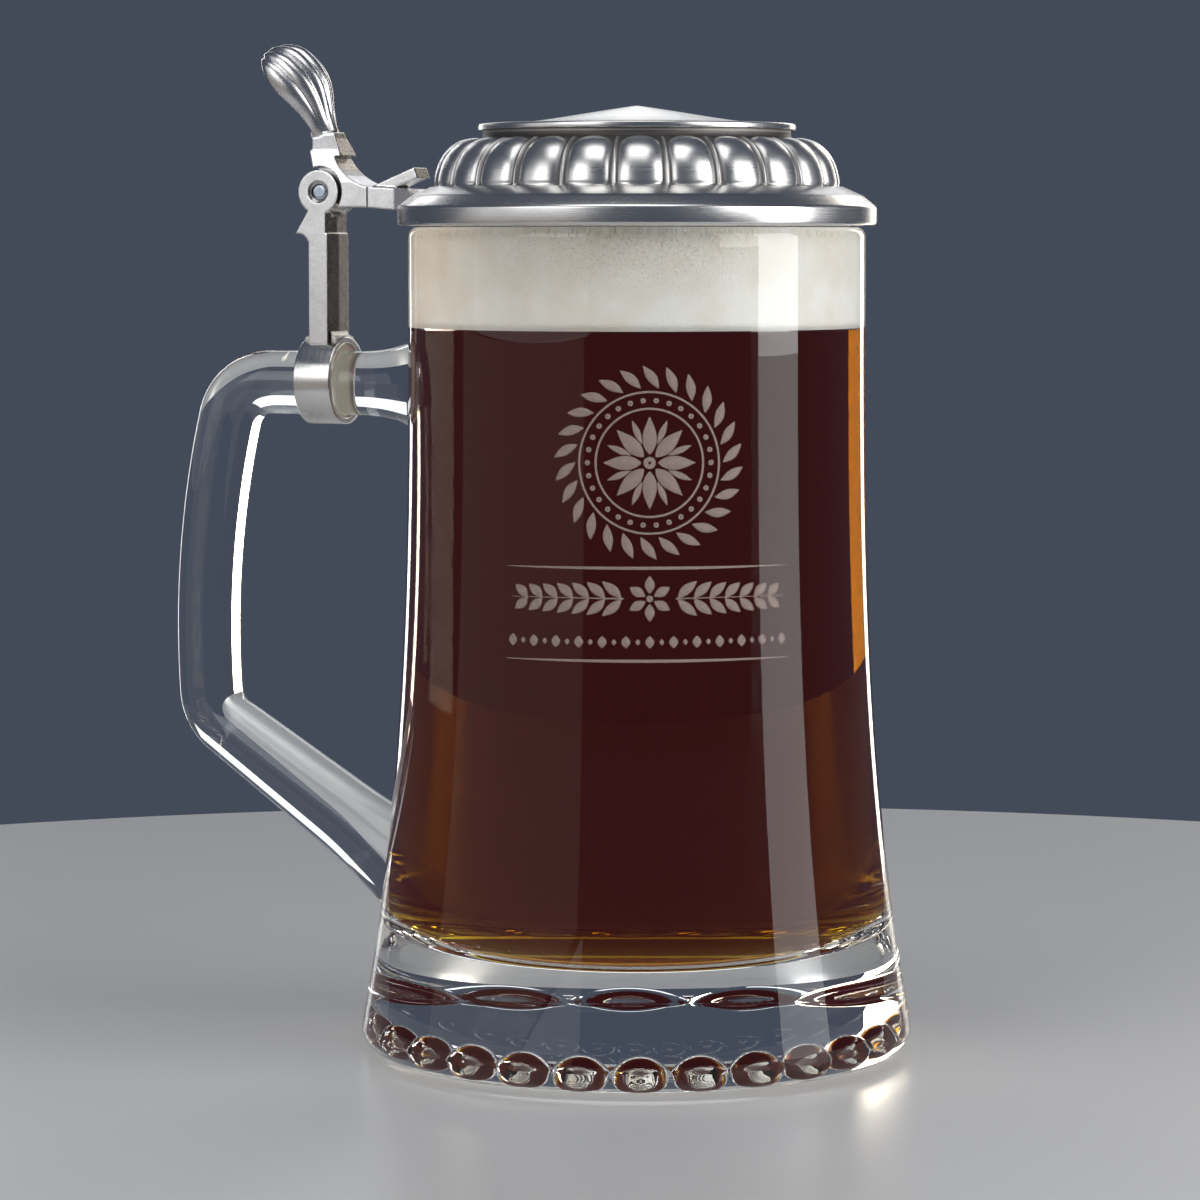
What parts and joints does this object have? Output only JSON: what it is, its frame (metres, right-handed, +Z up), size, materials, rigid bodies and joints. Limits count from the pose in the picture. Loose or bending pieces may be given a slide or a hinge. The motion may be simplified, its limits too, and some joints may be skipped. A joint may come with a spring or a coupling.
{
  "type": "glass beer stein with a hinged lid",
  "caption": "Flared clear glass beer stein with a bent glass handle and a fluted pewter lid that a thumblift opens on a knuckle hinge.",
  "frame": {"origin": "centre of the foot ring, on the table", "axes": "+Z up along the axis of the glass; the handle and the hinge point along -X; +Y completes the right-handed frame, along the hinge pin"},
  "size_m": [0.1488, 0.1046, 0.1907],
  "materials": {
    "glass": "clear pressed glass with seed bubbles",
    "pewter": "turned and lightly brushed pewter",
    "cast_metal": "satin sides, polished edges",
    "pin_steel": "blued steel pin, ends dressed",
    "solder": "granular soft solder",
    "liner": "pale soft plastic"
  },
  "bodies": {
    "mug": {"glass_mug": "glass", "ring_liner": "liner", "handle_ring": "pewter", "ring_solder": "solder", "hinge_shank": "cast_metal", "hinge_pin": "pin_steel"},
    "lid": {"thumblift": "cast_metal", "lid_tang": "cast_metal", "lid": "pewter"}
  },
  "joints": [
    {"name": "lid_hinge", "type": "hinge", "parent": "mug", "child": "lid", "pos_m": [-0.064, 0, 0.1623], "axis": [0, -1, 0], "range_deg": [0, 130]}
  ]
}
